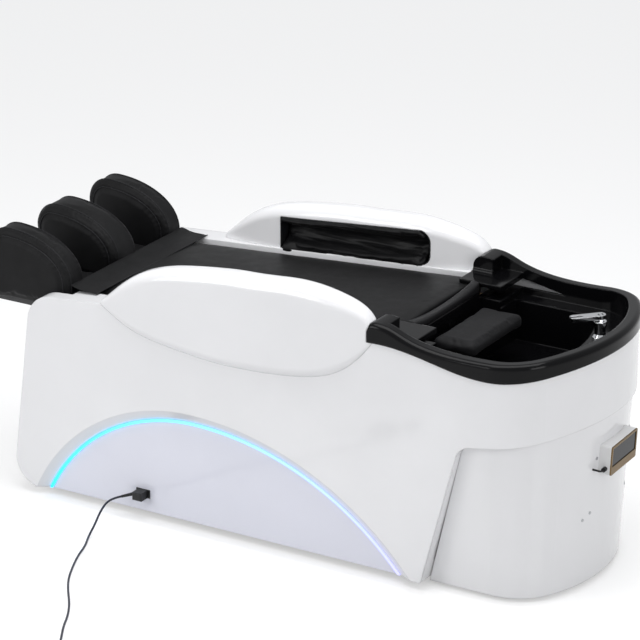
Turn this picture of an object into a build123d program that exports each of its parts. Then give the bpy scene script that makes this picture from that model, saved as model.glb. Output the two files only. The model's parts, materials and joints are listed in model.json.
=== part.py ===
"""Hair washing bed with calf and arm massage, in millimetres.

+X points to the head end, +Z is up, and a lying user's left arm is on the -Y side.
A size named ..._at is a distance along the bed from the foot end of the body.
"""
import math
import os

from build123d import *

os.makedirs("parts", exist_ok=True)

# Body shell
body_half_width = 378
body_floor = 22
wall = 6
foot_lean = 82
foot_low_round = 90
foot_top_round = 95
deck_at = 195
deck_height = 679
bed_slope = 0.07
deck_end_at = 1294
rim_dip_at = 1640
rim_dip_height = 713
bowl_end_at = 1928
rim_end_height = 740
rim_end_slope = 0.14
bowl_end_radius = 560
bowl_corner_round = 170
step_low_at = 1477
crease_at = 1600
crease_height = 487
crease_end_height = 540
step_round = 55
overrun = 20
seat_gap = 0.3

# Mattress well and calf bay
well_half_width = 296
bay_half_width = 332
well_foot_at = 214
well_head_at = 1346
board_thickness = 15
board_half_width = 312
board_foot_height = 598
board_head_at = 1336
mattress_thickness = 68
mattress_crown = 10
mattress_edge_round = 20
mattress_head_at = 1316
mattress_side_gap = 4
bay_floor_height = 584

# Lit arches in the sides
arch_top_at = 668
arch_top_height = 391
arch_foot_at = 86
arch_head_at = 1446
arch_depth = 24
arch_bevel = 42
panel_thickness = 4
panel_lap = 12
led_width = 7
led_depth = 6

# Head cover
cover_floor = 12
cover_half_width = 322
cover_end_at = 1890
cover_end_radius = 520
cover_corner_round = 170
cover_draft = 3
cover_front_at = 1380

# Control panel on the head cover
control_across = 16
control_height = 407
control_width = 176
control_tall = 92
control_depth = 30
bezel_thickness = 4
bezel_rim = 7
display_low_margin = 26
display_thickness = 2
control_round = 5
control_seat_depth = 12
gland_radius = 7
gland_length = 14
gland_drop = 26
lead_radius = 3
lead_reach = 13
lead_depth = 32

# Basin
horn_at = 1281
horn_height = 818
horn_round = 34
horn_back_at = 1405
horn_back_height = 794
horn_inner_half = 288
horn_inner_round = 14
horn_column_end_at = 1350
shoulder_height = 768
rim_edge_round = 16
horn_end_at = 1425
neck_half_width = 200
rim_overhang = 6
rim_width = 34
rim_thickness = 46
rim_dip_thickness = 52
bowl_wall = 8
ledge_height = 700
ledge_at = 1768
bowl_floor = 575
bowl_draft = 5
bowl_low_half_width = 276
bowl_low_round = 70
bowl_from_at = 1352
shelf_height = 655
shelf_end_at = 1440
neck_height = 735
neck_lip_at = 1322
neck_lip_depth = 18
drain_at = 1640
drain_radius = 24

# Collar, head rest, strainer
collar_rise = 36
collar_dip = 18
collar_length = 30
collar_round = 6
rest_pivot_at = 1376
rest_pivot_height = 668
rest_pin_radius = 3
rest_bore_gap = 0.05
rest_knuckle_radius = 6
rest_knuckle_across = 70
rest_knuckle_length = 30
rest_ear_thickness = 5
rest_plate_thickness = 3
rest_pad_at = 1386
rest_pad_length = 142
rest_pad_half_width = 157
rest_pad_thickness = 36
rest_pad_round = 16
rest_pad_edge_round = 15
strainer_radius = 30
strainer_thickness = 3
strainer_hole_radius = 3
strainer_holes = 8
tail_radius = 20
tail_wall = 2
tail_length = 90
drain_hose_radius = 22
drain_hose_end_height = 40

# Mixer and hand shower
mixer_at = 1802
mixer_across = 120
mixer_radius = 24
mixer_height = 44
mixer_neck_radius = 17
mixer_turn = -133
lever_length = 112
lever_width = 32
lever_thickness = 12
lever_slot_length = 40
lever_slot_width = 10
lever_round_share = 0.48
cartridge_radius = 20
cartridge_height = 16
lever_pin_radius = 2.5
lever_pin_gap = 0.05
lever_clearance = 7.5
lever_tongue_margin = 1.5
lever_tongue_gap = 4
shower_at = 1782
shower_across = -205
shower_head_radius = 20
shower_head_length = 26
shower_grip_radius = 12
shower_grip_length = 120
holder_radius = 21
holder_height = 10
holder_bore_gap = 0.08
hose_radius = 7
hose_low_height = 330
pipe_radius = 8

# Arm covers and sleeves
arm_at = 352
arm_length = 955
arm_drop = 106
arm_rise = 209
arm_inner = 298
arm_inner_draw = 34
arm_bulge = 15
arm_wall = 5
arm_round_share = 0.42
arm_section_shares = (
    (0.0, 0.35, 0.42, 0.0),
    (0.05, 0.24, 0.56, 0.4),
    (0.12, 0.14, 0.72, 0.7),
    (0.2, 0.08, 0.83, 0.85),
    (0.35, 0.02, 0.92, 0.97),
    (0.52, 0.0, 0.97, 1.0),
    (0.68, 0.03, 1.0, 1.0),
    (0.82, 0.11, 0.985, 0.92),
    (0.91, 0.25, 0.93, 0.65),
    (0.97, 0.42, 0.85, 0.3),
    (1.0, 0.53, 0.74, 0.0),
)
recess_at = 578
recess_length = 545
recess_depth = 76
recess_rise = 2
recess_foot_share = 0.566
recess_head_share = 0.8
recess_round = 38
recess_wall = 3
recess_mouth_gap = 1
sleeve_lip = 11
sleeve_edge = 15
sleeve_hollow = 40
sleeve_corner_share = 0.42

# Calf unit
fin_overhang = 120
fin_head_at = 192
fin_top_at = -47
fin_toe_height = 762
fin_top_rise = 83
fin_shoulder_drop = 58
fin_toe_draw = 10
fin_toe_round = 36
fin_spacing = 276
fin_side_thickness = 88
fin_middle_thickness = 132
fin_edge_round = 15
fin_middle_edge_round = 22
calf_board_height = 594
calf_board_half_width = 290
calf_board_foot_overhang = 110
calf_board_head_at = 200
calf_pad_foot_overhang = 104
calf_pad_head_at = 184
calf_pad_thickness = 42
calf_pad_round = 14
flap_end_at = 292
flap_rise = 20
flap_thickness = 4
flap_half_width = 318
rail_across = 150
rail_width = 12
rail_tall = 26
rail_foot_at = -80
rail_head_at = 490
rail_strap = 12
guide_at = 95
guide_end_at = 592
guide_thickness = 3.5
guide_gap = 0.5
guide_lip = 1
guide_board_gap = 2
rod_radius = 8
rod_gap = 0.05
rod_drop = 14
rod_end_at = 840
actuator_radius = 18
actuator_end_at = 860
actuator_gland_at = 520

# Steel frame, feet and inner units
tube = 40
tube_wall = 2.5
frame_across = 250
frame_foot_at = 130
frame_head_at = 1640
frame_height = 45
post_places_at = (240, 560, 900, 1280)
slide_bar_height = 522
brace_height = 300
floor_bar_places_at = (150, 750, 1560)
foot_places_at = (200, 880, 1580)
foot_radius = 25
foot_thickness = 12
foot_stud_radius = 5
tray_thickness = 4
service_tray_at = 930
service_tray_length = 320
air_pump_size = (180, 130, 110)
air_pump_across = -95
power_supply_size = (160, 98, 42)
power_supply_across = 110
heater_at = 1180
heater_radius = 55
heater_length = 180
heater_across = -60

# Mains inlet, connector, cord, coil and plug
inlet_at = 477
inlet_height = 80
inlet_flange = (50, 28)
inlet_thickness = 3
inlet_body = (28, 20)
inlet_body_depth = 24
inlet_hollow = (25, 17)
inlet_hollow_depth = 16
connector_size = (34, 38, 26)
sleeve_root_in = 12
sleeve_root_out = 16
sleeve_root_rise = 3
sleeve_direction = (-0.87, -0.41, -0.27)
connector_sleeve_radius = 6
connector_sleeve_tip = 4.2
connector_sleeve_length = 52
cord_radius = 3.5
cord_lead = 23
cord_turn_share = 0.45
cord_places = (
    (385, -424, 54), (392, -472, 38), (405, -515, 22), (413, -552, 9), (425, -586, 3.5),
    (450, -637, 3.5), (470, -702, 3.5), (498, -769, 3.5), (537, -851, 3.5), (581, -917, 3.5),
    (642, -996, 3.5), (685, -1067, 3.5), (713, -1130, 3.5), (759, -1208, 3.5), (800, -1290, 3.5),
    (820, -1365, 3.5),
)
coil_radius = 39
coil_step = 8.2
coil_halves = 6
coil_tail = 64
plug_length = 38
plug_width = 30
plug_pin_radius = 2.4
plug_pin_length = 19
plug_pin_spacing = 19

# The frame's origin lies under the middle of the object, without its cord
cover_lean = math.tan(math.radians(cover_draft))


def cover_plane(angle, height, foot):
    """Seat on the round end of the head cover, its normal outward, x level and y up."""
    reach = cover_end_radius + (height - cover_floor) * cover_lean
    turn = math.radians(angle)
    draft = math.radians(cover_draft)
    seat = Vector(
        foot + cover_end_at - cover_end_radius + reach * math.cos(turn),
        reach * math.sin(turn),
        height,
    )
    outward = Vector(
        math.cos(turn) * math.cos(draft), math.sin(turn) * math.cos(draft), -math.sin(draft)
    )
    return Plane(origin=seat, x_dir=(-math.sin(turn), math.cos(turn), 0), z_dir=outward)


control_reach = cover_end_radius + (control_height - cover_floor) * cover_lean
control_angle = math.degrees(math.asin(control_across / control_reach))
control_front = control_depth + bezel_thickness


def furthest_head_point(foot):
    """X of the control panel's front corner that reaches furthest to the head end."""
    seat = cover_plane(control_angle, control_height, foot)
    corners = [
        seat.from_local_coords((across * control_width / 2, up * control_tall / 2, control_front))
        for across in (-1, 1)
        for up in (-1, 1)
    ]
    return max(corner.X for corner in corners)


foot_x = (fin_overhang - furthest_head_point(0)) / 2
print("foot end of the body at x", foot_x)

control_seat = cover_plane(control_angle, control_height, foot_x)
lead_across = -control_width / 2 - gland_length - lead_reach


def deck(at):
    """Height of the deck beside the mattress."""
    return deck_height + bed_slope * (at - deck_at)


def board_under(at):
    """Height of the underside of the mattress board."""
    return board_foot_height + bed_slope * (at - well_foot_at)


arm_low_height = deck_height - arm_drop
arm_high_height = deck_height + arm_rise
recess_end_at = recess_at + recess_length
rim_past_at = bowl_end_at + 2 * rim_overhang
rim_past_height = rim_end_height + 2 * rim_overhang * rim_end_slope
crease_slope = (crease_end_height - crease_height) / (bowl_end_at - crease_at)
crease_past_height = crease_height + crease_slope * (rim_past_at - crease_at)
recess_foot_tall = recess_foot_share * (arm_high_height - deck(recess_at))
recess_head_tall = recess_head_share * (arm_high_height - deck(recess_end_at))


def block(start, end, low_y, high_y, low_z, high_z, mode=Mode.ADD):
    """Box between two stations along the bed, two places across it and two heights."""
    middle = (foot_x + (start + end) / 2, (low_y + high_y) / 2, (low_z + high_z) / 2)
    with Locations(middle):
        Box(end - start, high_y - low_y, high_z - low_z, mode=mode)


def slab(points, low_y, high_y, mode=Mode.ADD):
    """Side outline of (station, height) points, made solid from low_y to high_y."""
    with BuildSketch(Plane.XZ.offset(-high_y)) as outline:
        with BuildLine():
            Polyline(*[(foot_x + at, height) for at, height in points], close=True)
        make_face()
    extrude(to_extrude=outline.sketch, amount=high_y - low_y, mode=mode)


def finish(built, name):
    """Label one finished piece and write it."""
    built.part.label = name
    export_step(built.part, f"parts/{name}.step")


def side_region(inset, floor_height):
    """Side view of the body: foot edge, deck, rim seat, head end, crease and step."""
    high_foot = (foot_x + foot_lean + inset, deck(foot_lean) - inset)
    deck_end = (foot_x + deck_end_at, deck(deck_end_at) - inset)
    dip = (foot_x + rim_dip_at, rim_dip_height - inset)
    rim_end = (foot_x + rim_past_at - inset, rim_past_height - inset)
    crease_end = (foot_x + rim_past_at - inset, crease_past_height + inset)
    crease = (foot_x + crease_at, crease_height + inset)
    step = (foot_x + step_low_at - inset, floor_height)
    foot = (foot_x + inset, floor_height)
    with BuildSketch(Plane.XZ) as outline:
        with BuildLine():
            Line(foot, high_foot)
            Line(high_foot, deck_end)
            Spline(deck_end, dip, rim_end, tangents=((1, bed_slope), (1, rim_end_slope)))
            Polyline(rim_end, crease_end, crease, step, foot)
        make_face()
        for corner, radius in (
            (high_foot, foot_top_round - inset), (foot, foot_low_round), (crease, step_round)
        ):
            fillet(outline.vertices().sort_by_distance(corner)[0], radius)
    return outline.sketch


def round_end_plan(start_at, end_at, half, radius, corner, height):
    """Plan with a straight start, parallel sides and a bowed end with rounded corners."""
    start = foot_x + start_at
    end = foot_x + end_at
    side_end = end - radius + math.sqrt(radius ** 2 - half ** 2)
    with BuildSketch(Plane.XY.offset(height)) as plan:
        with BuildLine():
            Polyline((side_end, half), (start, half), (start, -half), (side_end, -half))
            ThreePointArc((side_end, -half), (end, 0), (side_end, half))
        make_face()
        fillet(plan.vertices().group_by(Axis.X)[-1], corner)
    return plan.sketch


def head_plan(inset, start_at, height):
    """Plan of the body with its bowed head end, drawn in by inset."""
    return round_end_plan(
        start_at, bowl_end_at - inset, body_half_width - inset,
        bowl_end_radius - inset, bowl_corner_round - inset, height,
    )


def cover_plan(inset, height):
    """Plan of the head cover at its foot, drawn in by inset."""
    return round_end_plan(
        cover_front_at, cover_end_at - inset, cover_half_width - inset,
        cover_end_radius - inset, cover_corner_round - inset, height,
    )


def arch_plan(side, inset, offset_y):
    """Arch on one side of the body, drawn in by inset, on a plane offset_y out from the middle."""
    top = (foot_x + arch_top_at, arch_top_height)
    tail_height = body_floor - arch_bevel - overrun
    foot = (foot_x + arch_foot_at, body_floor)
    head = (foot_x + arch_head_at, body_floor)
    with BuildSketch(Plane.XZ.offset(-side * offset_y)) as arch:
        with BuildLine():
            TangentArc(top, foot, tangent=(-1, 0))
            TangentArc(top, head, tangent=(1, 0))
            Polyline(foot, (foot[0], tail_height), (head[0], tail_height), head)
        make_face()
        if inset:
            offset(amount=-inset, kind=Kind.INTERSECTION, mode=Mode.REPLACE)
    return arch.sketch


def across_plane(at, across, height):
    """Plane that faces the near side, with its origin at one place on the object."""
    return Plane(origin=(foot_x + at, across, height), x_dir=(1, 0, 0), z_dir=(0, -1, 0))


# Body shell: one hollow moulding with side walls, deck, bowl surround and foot end
tall = 2 * arm_high_height
with BuildPart() as body_cavity:
    extrude(to_extrude=side_region(wall, body_floor - overrun), amount=body_half_width - wall, both=True)
    cavity_end = head_plan(wall, -overrun, -tall / 2)
    extrude(to_extrude=cavity_end, amount=tall, mode=Mode.INTERSECT)

with BuildPart() as body_shell:
    extrude(to_extrude=side_region(0, body_floor), amount=body_half_width, both=True)
    extrude(to_extrude=head_plan(0, -overrun, -tall / 2), amount=tall, mode=Mode.INTERSECT)
    add(body_cavity.part, mode=Mode.SUBTRACT)
    # Lips of the mattress well stand on the mattress board
    for side in (-1, 1):
        inner = well_half_width * side
        outer = (well_half_width + wall) * side
        slab(
            (
                (well_foot_at, board_under(well_foot_at) + board_thickness),
                (horn_at, board_under(horn_at) + board_thickness),
                (horn_at, deck(horn_at) - wall),
                (well_foot_at, deck(well_foot_at) - wall),
            ),
            min(inner, outer), max(inner, outer),
        )
    # Walls of the calf bay and its floor
    for side in (-1, 1):
        inner = bay_half_width * side
        outer = (bay_half_width + wall) * side
        slab(
            (
                (foot_lean, bay_floor_height - wall),
                (well_foot_at, bay_floor_height - wall),
                (well_foot_at, deck(well_foot_at) - wall),
                (foot_lean + foot_top_round, deck(foot_lean + foot_top_round) - wall),
                (foot_lean, bay_floor_height + foot_lean / 2),
            ),
            min(inner, outer), max(inner, outer),
        )
    block(
        foot_lean - wall, well_foot_at, -bay_half_width - wall, bay_half_width + wall,
        bay_floor_height - wall, bay_floor_height,
    )
    # Openings for the calf unit, the mattress and the basin
    block(
        -overrun, well_foot_at, -bay_half_width, bay_half_width,
        bay_floor_height, tall, mode=Mode.SUBTRACT,
    )
    block(
        well_foot_at - overrun, well_head_at, -well_half_width, well_half_width,
        board_foot_height + board_thickness, tall, mode=Mode.SUBTRACT,
    )
    basin_hole = head_plan(
        rim_width - bowl_wall - 2 * seat_gap, well_head_at - overrun, rim_dip_height - 3 * wall
    )
    extrude(to_extrude=basin_hole, amount=tall, mode=Mode.SUBTRACT)
    # Slots for the slide rails
    for side in (-1, 1):
        block(
            -overrun, well_foot_at + overrun,
            side * rail_across - rail_width, side * rail_across + rail_width,
            calf_board_height - rail_tall - guide_thickness - wall, tall / 2, mode=Mode.SUBTRACT,
        )
    # Way through to the head cover
    block(
        step_low_at - 3 * overrun, bowl_end_at - 4 * overrun,
        -cover_half_width + 2 * overrun, cover_half_width - 2 * overrun,
        0, crease_end_height + 2 * overrun, mode=Mode.SUBTRACT,
    )
    # Arches: a bevelled return leads in to each side panel
    for side in (-1, 1):
        bevel = math.degrees(math.atan2(arch_bevel - wall, arch_depth))
        outer_arch = arch_plan(side, -wall, body_half_width)
        inner_arch = arch_plan(side, 0, body_half_width)
        extrude(to_extrude=outer_arch, amount=side * arch_depth, taper=bevel)
        extrude(to_extrude=inner_arch, amount=side * arch_depth, taper=bevel, mode=Mode.SUBTRACT)
    block(
        -overrun, bowl_end_at, -body_half_width - overrun, body_half_width + overrun,
        -overrun * 4, body_floor, mode=Mode.SUBTRACT,
    )
finish(body_shell, "body_shell")

# Side panels in the arches, each with its light strip
for side, name in ((-1, "left"), (1, "right")):
    panel_face = body_half_width - arch_depth
    with BuildPart() as arch_panel:
        lapped = arch_plan(side, arch_bevel - wall - panel_lap, panel_face)
        extrude(to_extrude=lapped, amount=side * panel_thickness)
        block(
            -overrun, bowl_end_at, -body_half_width, body_half_width,
            -overrun * 4, body_floor, mode=Mode.SUBTRACT,
        )
        if side < 0:
            block(
                inlet_at - inlet_body[0] / 2, inlet_at + inlet_body[0] / 2,
                -body_half_width, -panel_face + inlet_body_depth,
                inlet_height - inlet_body[1] / 2, inlet_height + inlet_body[1] / 2,
                mode=Mode.SUBTRACT,
            )
    finish(arch_panel, f"arch_panel_{name}")
    with BuildPart() as led_strip:
        led_outer = arch_plan(side, arch_bevel - wall + seat_gap, panel_face + led_depth)
        led_inner = arch_plan(side, arch_bevel - wall + led_width, panel_face + led_depth)
        extrude(to_extrude=led_outer, amount=side * led_depth)
        extrude(to_extrude=led_inner, amount=side * led_depth, mode=Mode.SUBTRACT)
        block(
            -overrun, bowl_end_at, -body_half_width, body_half_width,
            -overrun * 4, body_floor, mode=Mode.SUBTRACT,
        )
    finish(led_strip, f"led_strip_{name}")

# Head cover: drafted shell under the bowl surround, open to the front and below
cover_taller = crease_end_height + 4 * overrun
cover_region = (
    (step_low_at, 0),
    (crease_at, crease_height),
    (bowl_end_at, crease_end_height),
    (bowl_end_at, 0),
)
with BuildPart() as cover_outer:
    extrude(to_extrude=cover_plan(0, cover_floor), amount=cover_taller, taper=-cover_draft)
with BuildPart() as cover_inner:
    extrude(to_extrude=cover_plan(wall, cover_floor), amount=cover_taller, taper=-cover_draft)
with BuildPart() as head_cover:
    slab(cover_region, -body_half_width, body_half_width)
    fillet(
        head_cover.edges().filter_by(Axis.Y).sort_by_distance((foot_x + crease_at, 0, crease_height))[0],
        step_round,
    )
    add(cover_outer.part, mode=Mode.INTERSECT)
    add(cover_inner.part, mode=Mode.SUBTRACT)
    # Hole for the control panel's lead
    with Locations(control_seat.offset(-lead_depth / 2)):
        with Locations((lead_across, -gland_drop, 0)):
            Cylinder(lead_radius, lead_depth, mode=Mode.SUBTRACT)
finish(head_cover, "head_cover")

# Screws that hold the head cover: one above, a pair below, and one on each flank
screw_head_radius = 5
screw_head_rise = 1.5
cover_screw_places = ((-9, 413), (-10.5, 240), (-14, 226), (20, 413), (20, 226))
with BuildPart() as cover_screws:
    for angle, height in cover_screw_places:
        seat = cover_plane(angle, height, foot_x)
        with Locations(seat.offset(screw_head_rise / 2)):
            Cylinder(screw_head_radius, screw_head_rise)
    add(cover_outer.part, mode=Mode.SUBTRACT)
finish(cover_screws, "cover_screws")

# Basin: rim with two horns round the neck, bowl with a rear ledge, shelf under the head rest
rim_top_dip = rim_dip_height + rim_dip_thickness
rim_top_end = rim_end_height + rim_thickness
with BuildPart() as basin:
    horn_front = (foot_x + horn_at, deck(horn_at))
    horn_nose = (foot_x + horn_at, horn_height - horn_round)
    horn_top = (foot_x + horn_at + horn_round, horn_height)
    with BuildSketch(Plane.XZ) as rim_side:
        with BuildLine():
            deck_end = (foot_x + deck_end_at, deck(deck_end_at))
            dip = (foot_x + rim_dip_at, rim_dip_height)
            rim_end = (foot_x + rim_past_at, rim_past_height)
            Line(horn_front, deck_end)
            Spline(deck_end, dip, rim_end, tangents=((1, bed_slope), (1, rim_end_slope)))
            top_end = (rim_end[0], rim_top_end)
            Line(rim_end, top_end)
            top_dip = (foot_x + rim_dip_at, rim_top_dip)
            horn_back = (foot_x + horn_back_at, horn_back_height)
            Spline(
                top_end, top_dip, horn_back, horn_top, tangents=((-1, -rim_end_slope / 2), (-1, 0))
            )
            TangentArc(horn_top, horn_nose, tangent=(-1, 0))
            Line(horn_nose, horn_front)
        make_face()
    extrude(to_extrude=rim_side.sketch, amount=body_half_width + rim_overhang, both=True)
    rim_plan = head_plan(-rim_overhang, horn_at, 0)
    extrude(to_extrude=rim_plan, amount=tall, mode=Mode.INTERSECT)
    # The rim's outer top edge and the horns' front corners are rounded
    rim_edges = [
        edge for edge in basin.edges().filter_by(GeomType.LINE, reverse=True)
        if edge.bounding_box().min.Z > rim_top_dip - seat_gap
    ]
    fillet(rim_edges + basin.edges().filter_by(Axis.Z).group_by(Axis.X)[0], rim_edge_round)
    # Bowl walls below the rim
    upper_wall = head_plan(rim_width - bowl_wall, bowl_from_at - bowl_wall, ledge_height - bowl_wall)
    extrude(to_extrude=upper_wall, amount=rim_dip_height - ledge_height + 2 * bowl_wall)
    bowl_low = bowl_floor - bowl_wall
    low_wall = round_end_plan(
        bowl_from_at - bowl_wall, ledge_at + bowl_wall, bowl_low_half_width + bowl_wall,
        bowl_end_radius, bowl_low_round + bowl_wall, bowl_low,
    )
    extrude(to_extrude=low_wall, amount=ledge_height - bowl_low, taper=-bowl_draft)
    block(
        bowl_from_at - bowl_wall - overrun * 2, bowl_from_at - bowl_wall, -body_half_width, body_half_width,
        0, ledge_height - bowl_wall, mode=Mode.SUBTRACT,
    )
    # Neck lip ahead of the bowl
    block(
        neck_lip_at, bowl_from_at, -neck_half_width, neck_half_width,
        neck_height - neck_lip_depth, neck_height,
    )
    # Hollows
    upper_hollow = head_plan(rim_width, horn_end_at, ledge_height)
    extrude(to_extrude=upper_hollow, amount=tall, mode=Mode.SUBTRACT)
    low_hollow = round_end_plan(
        shelf_end_at, ledge_at, bowl_low_half_width, bowl_end_radius, bowl_low_round, bowl_floor,
    )
    extrude(
        to_extrude=low_hollow, amount=ledge_height - bowl_floor, taper=-bowl_draft, mode=Mode.SUBTRACT
    )
    block(
        bowl_from_at, shelf_end_at + overrun, -neck_half_width, neck_half_width,
        shelf_height, tall, mode=Mode.SUBTRACT,
    )
    block(
        horn_at - overrun, bowl_from_at + overrun, -neck_half_width, neck_half_width,
        neck_height, tall, mode=Mode.SUBTRACT,
    )
    # The horns stand on a lower shoulder that reaches in to the neck
    with BuildSketch(Plane.YZ.offset(foot_x + horn_at - overrun)) as shoulder_cut:
        with Locations((0, (shoulder_height + tall) / 2)):
            Rectangle(2 * horn_inner_half, tall - shoulder_height)
        fillet(shoulder_cut.vertices().group_by(Axis.Z)[0], horn_inner_round)
    extrude(
        to_extrude=shoulder_cut.sketch, amount=horn_end_at - horn_at + 2 * overrun, mode=Mode.SUBTRACT
    )
    block(
        horn_column_end_at, horn_end_at + overrun, -body_half_width + rim_width,
        body_half_width - rim_width, shoulder_height, tall, mode=Mode.SUBTRACT,
    )
    # Drain, mixer and shower holes
    with Locations((foot_x + drain_at, 0, bowl_floor)):
        Cylinder(drain_radius, 4 * bowl_wall, mode=Mode.SUBTRACT)
    with Locations((foot_x + mixer_at, mixer_across, ledge_height)):
        Cylinder(pipe_radius, 4 * bowl_wall, mode=Mode.SUBTRACT)
    with Locations((foot_x + shower_at, shower_across, ledge_height)):
        Cylinder(shower_grip_radius + bowl_wall / 2, 4 * bowl_wall, mode=Mode.SUBTRACT)
finish(basin, "basin")

# Neck collar: soft strip that dips where the neck lies
with BuildPart() as neck_collar:
    with BuildSketch(Plane.YZ.offset(foot_x + neck_lip_at)) as collar_face:
        half = neck_half_width - seat_gap
        low = neck_height
        with BuildLine():
            Polyline((-half, low + collar_rise), (-half, low), (half, low), (half, low + collar_rise))
            ThreePointArc(
                (half, low + collar_rise), (0, low + collar_dip), (-half, low + collar_rise)
            )
        make_face()
    extrude(to_extrude=collar_face.sketch, amount=collar_length)
    fillet(neck_collar.edges().filter_by(GeomType.CIRCLE), collar_round)
finish(neck_collar, "neck_collar")

# Head rest: mount on the shelf with ears and pin, tilting plate, cushion
with BuildPart() as rest_mount:
    ear_foot = rest_pivot_at - 2 * rest_knuckle_radius
    ear_head = rest_pivot_at + rest_knuckle_radius
    ear_reach = rest_knuckle_across + rest_knuckle_length / 2 + rest_ear_thickness + seat_gap
    block(ear_foot, ear_head, -ear_reach, ear_reach, shelf_height, shelf_height + rest_plate_thickness)
    for side in (-1, 1):
        for ear in (-1, 1):
            middle = rest_knuckle_across + ear * (rest_knuckle_length + rest_ear_thickness + 2 * seat_gap) / 2
            with BuildSketch(Plane.XZ.offset(-side * middle - rest_ear_thickness / 2)) as ear_side:
                with Locations((foot_x + rest_pivot_at, rest_pivot_height)):
                    Circle(rest_knuckle_radius)
                with Locations(
                    (foot_x + rest_pivot_at, (rest_pivot_height + shelf_height) / 2)
                ):
                    Rectangle(2 * rest_knuckle_radius, rest_pivot_height - shelf_height)
            extrude(to_extrude=ear_side.sketch, amount=rest_ear_thickness)
        with Locations(across_plane(rest_pivot_at, side * rest_knuckle_across, rest_pivot_height)):
            Cylinder(rest_pin_radius, rest_knuckle_length + rest_ear_thickness)
finish(rest_mount, "head_rest_mount")

pad_low = rest_pivot_height + rest_knuckle_radius + rest_plate_thickness
with BuildPart() as rest_plate:
    plate_half = rest_knuckle_across + rest_knuckle_length / 2
    block(
        rest_pivot_at, rest_pad_at + rest_pad_length - rest_pad_round, -plate_half, plate_half,
        pad_low - rest_plate_thickness, pad_low,
    )
    block(
        rest_pivot_at - rest_knuckle_radius, rest_pad_at + rest_pad_round, -plate_half + rest_knuckle_length,
        plate_half - rest_knuckle_length, rest_pivot_height - rest_knuckle_radius, tall, mode=Mode.SUBTRACT,
    )
    for side in (-1, 1):
        near = side * rest_knuckle_across - rest_knuckle_length / 2
        block(
            rest_pivot_at, rest_pivot_at + rest_knuckle_radius, near, near + rest_knuckle_length,
            rest_pivot_height, pad_low,
        )
        with Locations(across_plane(rest_pivot_at, side * rest_knuckle_across, rest_pivot_height)):
            Cylinder(rest_knuckle_radius, rest_knuckle_length)
            Cylinder(rest_pin_radius + rest_bore_gap, rest_knuckle_length, mode=Mode.SUBTRACT)
finish(rest_plate, "head_rest_plate")

with BuildPart() as head_rest:
    with BuildSketch(Plane.XY.offset(pad_low)) as pad_plan:
        with Locations((foot_x + rest_pad_at + rest_pad_length / 2, 0)):
            RectangleRounded(rest_pad_length, 2 * rest_pad_half_width, rest_pad_round)
    extrude(to_extrude=pad_plan.sketch, amount=rest_pad_thickness)
    fillet(head_rest.edges().group_by(Axis.Z)[-1], rest_pad_edge_round)
    fillet(head_rest.edges().group_by(Axis.Z)[0], rest_pad_round / 4)
finish(head_rest, "head_rest_pad")

# Drain: lift-out strainer, tail pipe under the bowl, hose to the floor drain
with BuildPart() as strainer:
    with Locations((foot_x + drain_at, 0, bowl_floor + strainer_thickness / 2)):
        Cylinder(strainer_radius, strainer_thickness)
    with Locations((foot_x + drain_at, 0, bowl_floor - bowl_wall / 2)):
        Cylinder(drain_radius - seat_gap, bowl_wall)
        Cylinder(drain_radius - tail_wall, bowl_wall, mode=Mode.SUBTRACT)
    with Locations((foot_x + drain_at, 0, bowl_floor + strainer_thickness / 2)):
        with PolarLocations(strainer_radius / 2, strainer_holes):
            Cylinder(strainer_hole_radius, strainer_thickness, mode=Mode.SUBTRACT)
finish(strainer, "drain_strainer")

tail_top = bowl_floor - bowl_wall
with BuildPart() as tailpipe:
    with Locations((foot_x + drain_at, 0, tail_top - strainer_thickness / 2)):
        Cylinder(strainer_radius, strainer_thickness)
    with Locations((foot_x + drain_at, 0, tail_top - tail_length / 2)):
        Cylinder(tail_radius, tail_length)
        Cylinder(tail_radius - tail_wall, tail_length, mode=Mode.SUBTRACT)
finish(tailpipe, "drain_tailpipe")

drain_top = tail_top - tail_length / 2
with BuildPart() as drain_hose:
    drain_length = drain_top - drain_hose_end_height
    with Locations((foot_x + drain_at, 0, drain_top - drain_length / 2)):
        Cylinder(drain_hose_radius, drain_length)
        Cylinder(tail_radius, drain_length, mode=Mode.SUBTRACT)
finish(drain_hose, "drain_hose")

# Mixer: body on the ledge, turning cartridge, lever with a finger loop on a cross pin
lever_way = math.radians(mixer_turn)
mixer_top = ledge_height + mixer_height
with BuildPart() as mixer_body:
    with BuildSketch(Plane.XZ.offset(-mixer_across)) as mixer_half:
        x = foot_x + mixer_at
        with BuildLine():
            Polyline(
                (x, ledge_height), (x + mixer_radius, ledge_height),
                (x + mixer_radius, ledge_height + holder_height),
                (x + mixer_neck_radius, ledge_height + holder_height + mixer_neck_radius / 2),
                (x + mixer_neck_radius, mixer_top), (x, mixer_top), close=True,
            )
        make_face()
    revolve(mixer_half.sketch, axis=Axis((x, mixer_across, 0), (0, 0, 1)))
    with Locations((x, mixer_across, ledge_height - 2 * bowl_wall)):
        Cylinder(pipe_radius - seat_gap, 4 * bowl_wall)
finish(mixer_body, "mixer_body")

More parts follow.
